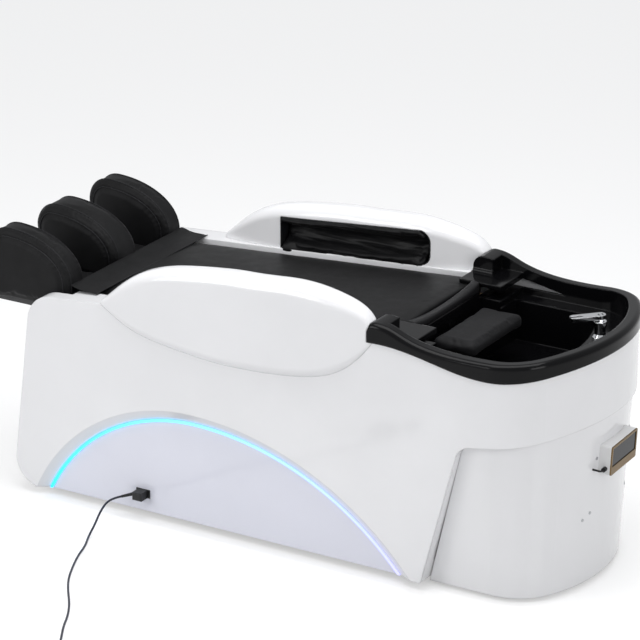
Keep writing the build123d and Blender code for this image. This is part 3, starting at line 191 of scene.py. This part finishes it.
def light_strip(name):
    """Lit strip whose colour runs from cyan at the foot to pale violet at the head."""
    material = new_material(name, (0.7, 0.8, 0.95), 0.4)
    place = place_on(material)
    split = node(material, "ShaderNodeSeparateXYZ")
    reach = node(material, "ShaderNodeMapRange")
    low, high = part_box("led_strip_left")
    reach.inputs["From Min"].default_value = low.x
    reach.inputs["From Max"].default_value = high.x
    ramp = node(material, "ShaderNodeValToRGB")
    ramp.color_ramp.elements[0].color = (0.02, 0.5, 0.95, 1)
    ramp.color_ramp.elements[1].color = (0.3, 0.3, 0.52, 1)
    middle = ramp.color_ramp.elements.new(0.35)
    middle.color = (0.12, 0.42, 0.75, 1)
    shader = material.node_tree.nodes["Principled BSDF"]
    link(material, place, "Vector", split, "Vector")
    link(material, split, "X", reach, "Value")
    link(material, reach, "Result", ramp, "Fac")
    link(material, ramp, "Color", shader, "Emission Color")
    link(material, ramp, "Color", shader, "Base Color")
    shader.inputs["Emission Strength"].default_value = 2.0
    texture = node(material, "ShaderNodeTexNoise", scale=120)
    bumped(material, texture, "Fac", 0.05, 0.0003)
    return material


def ply(name):
    """Raw board with a long grain."""
    material = new_material(name, (0.5, 0.36, 0.22), 0.7)
    tinted(material, (0.36, 0.24, 0.13), (0.56, 0.42, 0.27), 9, (1, 14, 14))
    texture = node(material, "ShaderNodeTexNoise", scale=40, detail=5)
    bumped(material, texture, "Fac", 0.2, 0.0005, 0.0008, (1, 12, 12))
    return material


white = moulded(
    "white_gloss_shell", (0.86, 0.86, 0.875), 0.16, coat=0.5, soft_edge=0.005, grain=0.02
)
panel = moulded("side_panel_gloss", (0.78, 0.79, 0.88), 0.2, coat=0.4, grain=0.02)
black_gloss = moulded(
    "black_ceramic", (0.003, 0.003, 0.0035), 0.12, soft_edge=0.006, grain=0.01, specular=0.16
)
rubber = moulded("black_rubber", (0.01, 0.01, 0.011), 0.45, grain=0.3, specular=0.25)
plastic = moulded("black_plastic", (0.012, 0.012, 0.013), 0.42, grain=0.25, specular=0.35)
jacket = moulded("cord_jacket", (0.012, 0.014, 0.03), 0.35, grain=0.15)
box_white = moulded("control_box_plastic", (0.8, 0.8, 0.8), 0.35, soft_edge=0.001, grain=0.12)
display = moulded(
    "display_glass", (0.006, 0.007, 0.01), 0.08, soft_edge=0.0, grain=0.0, specular=0.2
)
painted = moulded("frame_paint", (0.03, 0.03, 0.032), 0.45, grain=0.3)
casing = moulded("unit_casing_paint", (0.09, 0.1, 0.115), 0.5, grain=0.3)
chrome = moulded(
    "chrome_fittings", (0.78, 0.79, 0.81), 0.06, metallic=1.0, soft_edge=0.0012, grain=0.01
)
bronze = brushed("bezel_bronze", (0.17, 0.11, 0.045), 0.3, along=(40, 1, 40))
steel = brushed("brushed_steel", (0.5, 0.51, 0.53), 0.3)
zinc = brushed("zinc_plate", (0.42, 0.43, 0.46), 0.4)
leather = leatherette("black_leatherette", (0.006, 0.006, 0.0066), 0.56)
piping = leatherette("piping_leatherette", (0.016, 0.016, 0.018), 0.42, grain=1100, strength=0.2)
sleeve_leather = leatherette("sleeve_leatherette", (0.003, 0.003, 0.0035), 0.42)
mattress_leather = leatherette(
    "mattress_leatherette", (0.004, 0.004, 0.0045), 0.5, grain=620
)
pillow_foam = leatherette("head_rest_skin", (0.009, 0.009, 0.01), 0.6, grain=900)
led = light_strip("light_strip")
board = ply("plywood")

finishes = {
    white: ("body_shell", "head_cover", "arm_cover_left", "arm_cover_right"),
    panel: ("arch_panel_left", "arch_panel_right"),
    led: ("led_strip_left", "led_strip_right"),
    black_gloss: ("basin",),
    rubber: ("drain_hose", "levelling_feet"),
    plastic: (
        "control_gland", "control_lead", "mains_inlet", "mains_connector", "mains_plug",
        "arm_channel_left", "arm_channel_right", "head_rest_mount", "head_rest_plate",
        "drain_tailpipe",
    ),
    chrome: ("mixer_body", "mixer_cartridge", "mixer_lever", "hand_shower", "shower_holder"),
    steel: ("drain_strainer", "shower_hose", "calf_actuator_rod", "cover_screws"),
    painted: ("base_frame", "calf_slide_rails", "calf_board"),
    zinc: ("service_tray", "calf_slide_guides", "water_pipe"),
    box_white: ("control_box",),
    bronze: ("control_bezel",),
    display: ("control_display",),
    board: ("mattress_board",),
    casing: ("air_pump", "power_supply", "water_heater", "calf_actuator"),
}
for material, names in finishes.items():
    for name in names:
        mesh = frame["nodes"][name].data
        mesh.materials.clear()
        mesh.materials.append(material)


def new_object(name, data, body, material):
    """Links an object, gives it its material and lets it ride on a body."""
    made = bpy.data.objects.new(name, data)
    bpy.context.scene.collection.objects.link(made)
    if material:
        data.materials.clear()
        data.materials.append(material)
    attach(made, body)
    return made


def tube_along(name, points, radius, body, material, closed=False):
    """Round piping along points."""
    curve = bpy.data.curves.new(name, "CURVE")
    curve.dimensions = "3D"
    curve.bevel_depth = 1
    curve.bevel_resolution = 3
    spline = curve.splines.new("NURBS")
    spline.points.add(len(points) - 1)
    for point, place in zip(spline.points, points):
        point.co = (*place, 1)
        point.radius = radius
    spline.use_cyclic_u = closed
    spline.order_u = 3
    spline.use_endpoint_u = not closed
    return new_object(name, curve, body, material)


def remeshed_copy(name, node_name, voxel, body, material):
    """Even mesh of a CAD node's shape, ready for cloth."""
    work = bmesh.new()
    work.from_mesh(frame["nodes"][node_name].data)
    bmesh.ops.remove_doubles(work, verts=work.verts, dist=1e-5)
    mesh = bpy.data.meshes.new(name)
    work.to_mesh(mesh)
    work.free()
    piece = new_object(name, mesh, body, material)
    remesh = piece.modifiers.new("remesh", "REMESH")
    remesh.mode = "VOXEL"
    remesh.voxel_size = voxel
    settle(piece)
    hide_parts(node_name)
    return piece


def settle(piece):
    """Writes what the modifiers make into the mesh and removes them."""
    graph = bpy.context.evaluated_depsgraph_get()
    shaped = bpy.data.meshes.new_from_object(piece.evaluated_get(graph), depsgraph=graph)
    old = piece.data
    piece.modifiers.clear()
    shaped.name = old.name
    piece.data = shaped
    for face in shaped.polygons:
        face.use_smooth = True


cloth_frames = 20


def inflate(pieces):
    """Blows the covers up as cloth, all in one run; returns each piece's moved points."""
    scene = bpy.context.scene
    for piece in pieces:
        cloth = piece.modifiers.new("cloth", "CLOTH")
        cloth.settings.quality = 4
        cloth.settings.use_pressure = True
        cloth.settings.uniform_pressure_force = 4
        cloth.settings.effector_weights.gravity = 0
        cloth.settings.tension_stiffness = 20
        cloth.settings.compression_stiffness = 20
        cloth.settings.bending_stiffness = 0.8
        cloth.point_cache.frame_start = 1
        cloth.point_cache.frame_end = cloth_frames
    for step in range(1, cloth_frames + 1):
        scene.frame_set(step)
    graph = bpy.context.evaluated_depsgraph_get()
    moved = {}
    for piece in pieces:
        blown = piece.evaluated_get(graph).data
        moved[piece.name] = [vertex.co.copy() for vertex in blown.vertices]
    for piece in pieces:
        piece.modifiers.clear()
    scene.frame_set(1)
    return moved


def upholster(piece, blown, seams, padding, grain):
    """Caps the swelling, holds it down along the seams and adds wrinkles along the grain."""
    cap, reach, groove, wrinkle = padding
    tree = KDTree(sum(len(seam) for seam in seams) or 1)
    number = 0
    for seam in seams:
        for point in seam:
            tree.insert(point, number)
            number += 1
    tree.balance()
    normals = [vertex.normal.copy() for vertex in piece.data.vertices]
    for number, vertex in enumerate(piece.data.vertices):
        start = vertex.co.copy()
        swell = (blown[number] - start) if blown else normals[number] * cap * 0.6
        if swell.length > cap:
            swell *= cap / swell.length
        near = tree.find(start)[2] if seams else reach
        hold = min(1.0, near / reach)
        hold = hold * hold * (3 - 2 * hold)
        place = Vector((start.x * grain[0], start.y * grain[1], start.z * grain[2]))
        fold = noise.noise(place) + 0.5 * noise.noise(place * 2.5)
        sunk = (1 - hold) * groove
        relief = fold * wrinkle * (0.4 + hold) - sunk
        vertex.co = start + swell * hold + normals[number] * relief
    smooth = piece.modifiers.new("smooth", "SUBSURF")
    smooth.levels = 1
    smooth.render_levels = 1
    settle(piece)


fin_top_share = 0.234
fin_shoulder_share = 0.4025
fin_toe_share = 0.648
fin_foot_share = 0.03


def fin_outline(node_name, inset, y, step=0.012):
    """Points round a fin's side view, from its foot at the toe over the top to its head foot."""
    low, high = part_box(node_name)
    tall = high.z - low.z
    long = high.x - low.x
    top_x = low.x + fin_top_share * long
    shoulder_z = low.z + fin_shoulder_share * tall
    toe_z = low.z + fin_toe_share * tall
    points = [Vector((low.x + 0.05 * long, y, low.z + fin_foot_share * tall))]
    points.append(Vector((low.x + inset + 0.02 * long, y, low.z + 0.3 * tall)))
    for turn in range(0, 91, 10):
        angle = math.radians(180 - turn)
        points.append(Vector((
            top_x + (top_x - low.x - inset) * math.cos(angle), y,
            toe_z + (high.z - toe_z - inset) * math.sin(angle),
        )))
    for turn in range(10, 91, 8):
        angle = math.radians(90 - turn)
        points.append(Vector((
            top_x + (high.x - top_x - inset) * math.cos(angle), y,
            shoulder_z + (high.z - shoulder_z - inset) * math.sin(angle),
        )))
    points.append(Vector((high.x - inset, y, low.z + fin_foot_share * tall)))
    dense = []
    for start, end in zip(points, points[1:]):
        count = max(1, int((end - start).length / step))
        dense += [start.lerp(end, share / count) for share in range(count)]
    return dense + [points[-1]]


def top_edge_loop(node_name, inset, drop, step=0.005, slope=0.0):
    """Closed loop just below the top edges of a flat cushion, open at the corners."""
    low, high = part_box(node_name)
    corners = (
        (low.x + inset, low.y + inset), (high.x - inset, low.y + inset),
        (high.x - inset, high.y - inset), (low.x + inset, high.y - inset),
    )
    loop = []
    for start, end in zip(corners, corners[1:] + corners[:1]):
        start, end = Vector(start), Vector(end)
        count = max(2, int((end - start).length / step))
        for share in range(1, count):
            place = start.lerp(end, share / count)
            height = high.z - drop - slope * (high.x - place.x)
            loop.append(Vector((place.x, place.y, height)))
    return loop


def deck_height(x):
    """Height of the deck beside the mattress."""
    return deck_start_height + bed_slope * (x - foot_x - deck_start_at)


lip_above = 0.03
lip_fade = 0.028
lip_front = 0.314
lip_front_fade = 0.018
lip_forward = 0.008
lip_drop = 0.018


def hang_lip(piece):
    """Lets the lower lip of an arm cushion hang over the edge of the mattress well."""
    for vertex in piece.data.vertices:
        under = deck_height(vertex.co.x) + lip_above - vertex.co.z
        low = min(1.0, max(0.0, under / lip_fade))
        front = min(1.0, max(0.0, (lip_front - abs(vertex.co.y)) / lip_front_fade))
        hang = low * front
        vertex.co.y -= math.copysign(lip_forward * hang, vertex.co.y)
        vertex.co.z -= lip_drop * hang


# Each kind of cushion: most swelling, reach of a seam's hold, groove depth, wrinkle depth
fin_padding = (0.007, 0.02, 0.0015, 0.0006)
floor_padding = (0.005, 0.02, 0.001, 0.0008)
mattress_padding = (0.006, 0.03, 0.001, 0.0007)
sleeve_padding = (0.005, 0.02, 0.001, 0.0028)
pillow_padding = (0.006, 0.02, 0.0015, 0.0004)
collar_padding = (0.002, 0.01, 0.0, 0.0003)
even_grain = (9, 9, 9)
sleeve_grain = (5, 34, 62)
seam_side_share = 0.17
seam_in = 0.001
face_seam_in = 0.024
cushion_voxel = 0.005

soft_pieces = []
seam_sets = {}
for side in ("left", "middle", "right"):
    name = f"calf_fin_{side}"
    piece = remeshed_copy(f"calf_cushion_{side}", name, cushion_voxel, "calf_unit", leather)
    low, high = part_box(name)
    seams = []
    for y, inward in ((low.y, 1), (high.y, -1)):
        seam_y = y + inward * (high.y - low.y) * seam_side_share
        seams.append(fin_outline(name, seam_in, seam_y))
        seams.append(fin_outline(name, face_seam_in, y))
    soft_pieces.append((piece, seams, fin_padding, even_grain))
    seam_sets[name] = seams
for side in ("left", "right"):
    name = f"calf_pad_{side}"
    piece = remeshed_copy(
        f"calf_cushion_floor_{side}", name, cushion_voxel, "calf_unit", leather
    )
    soft_pieces.append((piece, [], floor_padding, even_grain))
mattress = remeshed_copy("mattress_cover", "mattress", 0.008, "bed", mattress_leather)
mattress_seam = top_edge_loop("mattress", 0.012, 0.024, slope=bed_slope)
soft_pieces.append((mattress, [mattress_seam], mattress_padding, even_grain))
for side in ("left", "right"):
    name = f"arm_sleeve_{side}"
    piece = remeshed_copy(f"arm_cushion_{side}", name, cushion_voxel, "bed", sleeve_leather)
    hang_lip(piece)
    soft_pieces.append((piece, [], sleeve_padding, sleeve_grain))
pillow = remeshed_copy("head_rest_cushion", "head_rest_pad", 0.004, "head_rest", pillow_foam)
pillow_seam = top_edge_loop("head_rest_pad", 0.006, 0.02)
soft_pieces.append((pillow, [pillow_seam], pillow_padding, even_grain))
collar = remeshed_copy("neck_collar_skin", "neck_collar", 0.003, "bed", rubber)
soft_pieces.append((collar, [], collar_padding, even_grain))

blown = {}
blown = inflate([entry[0] for entry in soft_pieces])
for piece, seams, padding, grain in soft_pieces:
    upholster(piece, blown.get(piece.name), seams, padding, grain)

# Piping on the cushions' seams
fin_piping_radius = 0.0016
fin_piping_lift = 0.0005
mattress_piping_radius = 0.002
hem_radius = 0.0018
for name, seams in seam_sets.items():
    for number, seam in enumerate(seams):
        lifted = [point + Vector((0, 0, fin_piping_lift)) for point in seam]
        tube_along(
            f"{name}_piping_{number}", lifted[::2], fin_piping_radius, "calf_unit", piping
        )
loop = top_edge_loop("mattress", 0.011, 0.023, slope=bed_slope)
tube_along("mattress_piping", loop, mattress_piping_radius, "bed", piping, closed=True)

# Flap from the calf cushions onto the mattress
flap_low, flap_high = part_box("calf_flap")
flap_profile = (
    (0.0, 0.8), (0.08, 0.74), (0.17, 0.6), (0.27, 0.4), (0.4, 0.24), (0.55, 0.17),
    (0.72, 0.22), (0.88, 0.17), (1.0, 0.15),
)
flap_columns = 90
flap_wave = 0.0012
flap_lift = 0.0012
flap_thickness = 0.002
flap_mesh = bpy.data.meshes.new("calf_flap_cloth")
flap_points = []
for column in range(flap_columns + 1):
    across = column / flap_columns
    y = flap_low.y + 0.002 + (flap_high.y - flap_low.y - 0.004) * across
    for along, height in flap_profile:
        x = flap_low.x + (flap_high.x - flap_low.x) * along
        wave = noise.noise(Vector((x * 9, y * 7, 0))) * flap_wave * math.sin(math.pi * along)
        z = flap_low.z + flap_lift + (flap_high.z - flap_low.z) * height + max(0.0, wave)
        flap_points.append((x, y, z))
rows = len(flap_profile)
flap_faces = [
    (start, start + rows, start + rows + 1, start + 1)
    for column in range(flap_columns)
    for start in range(column * rows, column * rows + rows - 1)
]
flap_mesh.from_pydata(flap_points, [], flap_faces)
flap = new_object("calf_flap_cloth", flap_mesh, "calf_unit", leather)
thick = flap.modifiers.new("thick", "SOLIDIFY")
thick.thickness = flap_thickness
thick.offset = 0
finer = flap.modifiers.new("finer", "SUBSURF")
finer.levels = 1
finer.render_levels = 1
settle(flap)
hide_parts("calf_flap")
hem = [Vector(point) + Vector((-0.001, 0, 0.001)) for point in flap_points[rows - 1::rows]]
hem_piece = tube_along("calf_flap_hem", hem, hem_radius, "calf_unit", piping)

# Mains cord: laid over the floor, the spare length coiled, two layers
cord_places = (
    (385, -424, 54), (392, -472, 38), (405, -515, 22), (413, -552, 9), (425, -586, 3.5),
    (450, -637, 3.5), (470, -702, 3.5), (498, -769, 3.5), (537, -851, 3.5), (581, -917, 3.5),
    (642, -996, 3.5), (685, -1067, 3.5), (713, -1130, 3.5), (759, -1208, 3.5), (800, -1290, 3.5),
    (820, -1365, 3.5),
)
sleeve_way = Vector((-0.87, -0.41, -0.27)).normalized()
sleeve_root = Vector((foot_x + 465 * MM, -370 * MM, 83 * MM))
cord_exit = sleeve_root + sleeve_way * 52 * MM
cord_points = [cord_exit, cord_exit + sleeve_way * 23 * MM]
cord_points += [Vector((foot_x + x * MM, y * MM, z * MM)) for x, y, z in cord_places]
entry = (cord_points[-1] - cord_points[-2]).normalized()
aside = Vector((entry.y, -entry.x, 0))
coil_radius = 39 * MM
coil_step = 8.2 * MM
coil_halves = 6
cord_radius = 3.5 * MM
half_radii = [
    coil_radius + coil_step / 2 * (coil_halves / 2 - 0.5 - half) for half in range(coil_halves)
]
half_radii += [half_radii[-1] - coil_step / 2] + half_radii[:0:-1]
coil_start = cord_points[-1]
place = 0.0
height = 0.0
heading = 1
half_points = 9
for half, radius in enumerate(half_radii):
    climb = coil_step if half == coil_halves else 0
    for step in range(1, half_points + 1):
        angle = math.pi * step / half_points
        x = place + heading * radius * (1 - math.cos(angle))
        y = heading * radius * math.sin(angle)
        lift = climb * (1 - math.cos(angle)) / 2
        cord_points.append(coil_start + aside * x + entry * y + Vector((0, 0, height + lift)))
    place += heading * 2 * radius
    height += climb
    heading = -heading
coil_end = coil_start + aside * place + Vector((0, 0, height))
cord_points += [coil_end + entry * heading * share * 64 * MM for share in (0.35, 0.7, 1)]
cord = tube_along("mains_lead", cord_points, cord_radius, "bed", jacket)
cord.data.splines[0].resolution_u = 6
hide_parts("mains_cord", "mains_cord_coil")

# Floor, light and camera
floor_half = 40
floor_drop = 0.0005
floor_glow = 0.46
floor_corners = [(-floor_half, -floor_half, 0), (floor_half, -floor_half, 0)]
floor_corners += [(floor_half, floor_half, 0), (-floor_half, floor_half, 0)]
floor_mesh = bpy.data.meshes.new("floor")
floor_mesh.from_pydata(floor_corners, [], [(0, 1, 2, 3)])
floor = bpy.data.objects.new("floor", floor_mesh)
bpy.context.scene.collection.objects.link(floor)
floor.location.z = -floor_drop
floor_material = new_material("floor_paint", (0.62, 0.62, 0.62), 0.1, specular=0.5)
glow = node(floor_material, "ShaderNodeEmission")
path = node(floor_material, "ShaderNodeLightPath")
seen = node(floor_material, "ShaderNodeMath", operation="MAXIMUM")
seen_more = node(floor_material, "ShaderNodeMath", operation="MAXIMUM")
strength = node(floor_material, "ShaderNodeMath", operation="MULTIPLY")
strength.inputs[1].default_value = floor_glow
both = node(floor_material, "ShaderNodeAddShader")
link(floor_material, path, "Is Camera Ray", seen, 0)
link(floor_material, path, "Is Glossy Ray", seen, 1)
link(floor_material, seen, 0, seen_more, 0)
link(floor_material, path, "Is Transmission Ray", seen_more, 1)
link(floor_material, seen_more, 0, strength, 0)
link(floor_material, strength, 0, glow, "Strength")
floor_tree = floor_material.node_tree
floor_tree.links.new(floor_tree.nodes["Principled BSDF"].outputs[0], both.inputs[0])
floor_tree.links.new(glow.outputs[0], both.inputs[1])
floor_tree.links.new(both.outputs[0], floor_tree.nodes["Material Output"].inputs["Surface"])
floor_mesh.materials.append(floor_material)

world = bpy.data.worlds.new("room")
bpy.context.scene.world = world
world.use_nodes = True
world.node_tree.nodes["Background"].inputs["Color"].default_value = (0.97, 0.98, 1, 1)
world.node_tree.nodes["Background"].inputs["Strength"].default_value = 0.55


def softbox(name, place, target, size, power):
    """Square area lamp that faces a target."""
    lamp = bpy.data.lights.new(name, "AREA")
    lamp.shape = "RECTANGLE"
    lamp.size, lamp.size_y = size
    lamp.energy = power
    made = bpy.data.objects.new(name, lamp)
    bpy.context.scene.collection.objects.link(made)
    made.location = place
    made.rotation_euler = (Vector(target) - Vector(place)).to_track_quat("-Z", "Y").to_euler()


softbox("overhead", (0.2, -0.3, 3.6), (0, 0, 0.5), (3.2, 2.2), 74)
softbox("near_side", (-2.2, -3.6, 2.0), (0, 0, 0.5), (2.0, 1.6), 48)
softbox("head_side", (3.8, -1.6, 1.8), (0.4, 0, 0.6), (1.6, 1.6), 30)

azimuth = math.radians(31)
elevation = math.radians(21)
target = Vector((foot_x + 904.5 * MM, 0, 623.3 * MM))
distance = 10762 * MM
back = Vector((
    math.sin(azimuth) * math.cos(elevation),
    -math.cos(azimuth) * math.cos(elevation),
    math.sin(elevation),
))
camera_data = bpy.data.cameras.new("camera")
camera_data.sensor_width = 36
camera_data.lens = 196.875
camera_data.clip_end = 100
camera = bpy.data.objects.new("camera", camera_data)
bpy.context.scene.collection.objects.link(camera)
camera.location = target + back * distance
camera.rotation_euler = back.to_track_quat("Z", "Y").to_euler()
bpy.context.scene.camera = camera
bpy.context.scene.view_settings.view_transform = "Standard"

bpy.context.view_layer.update()
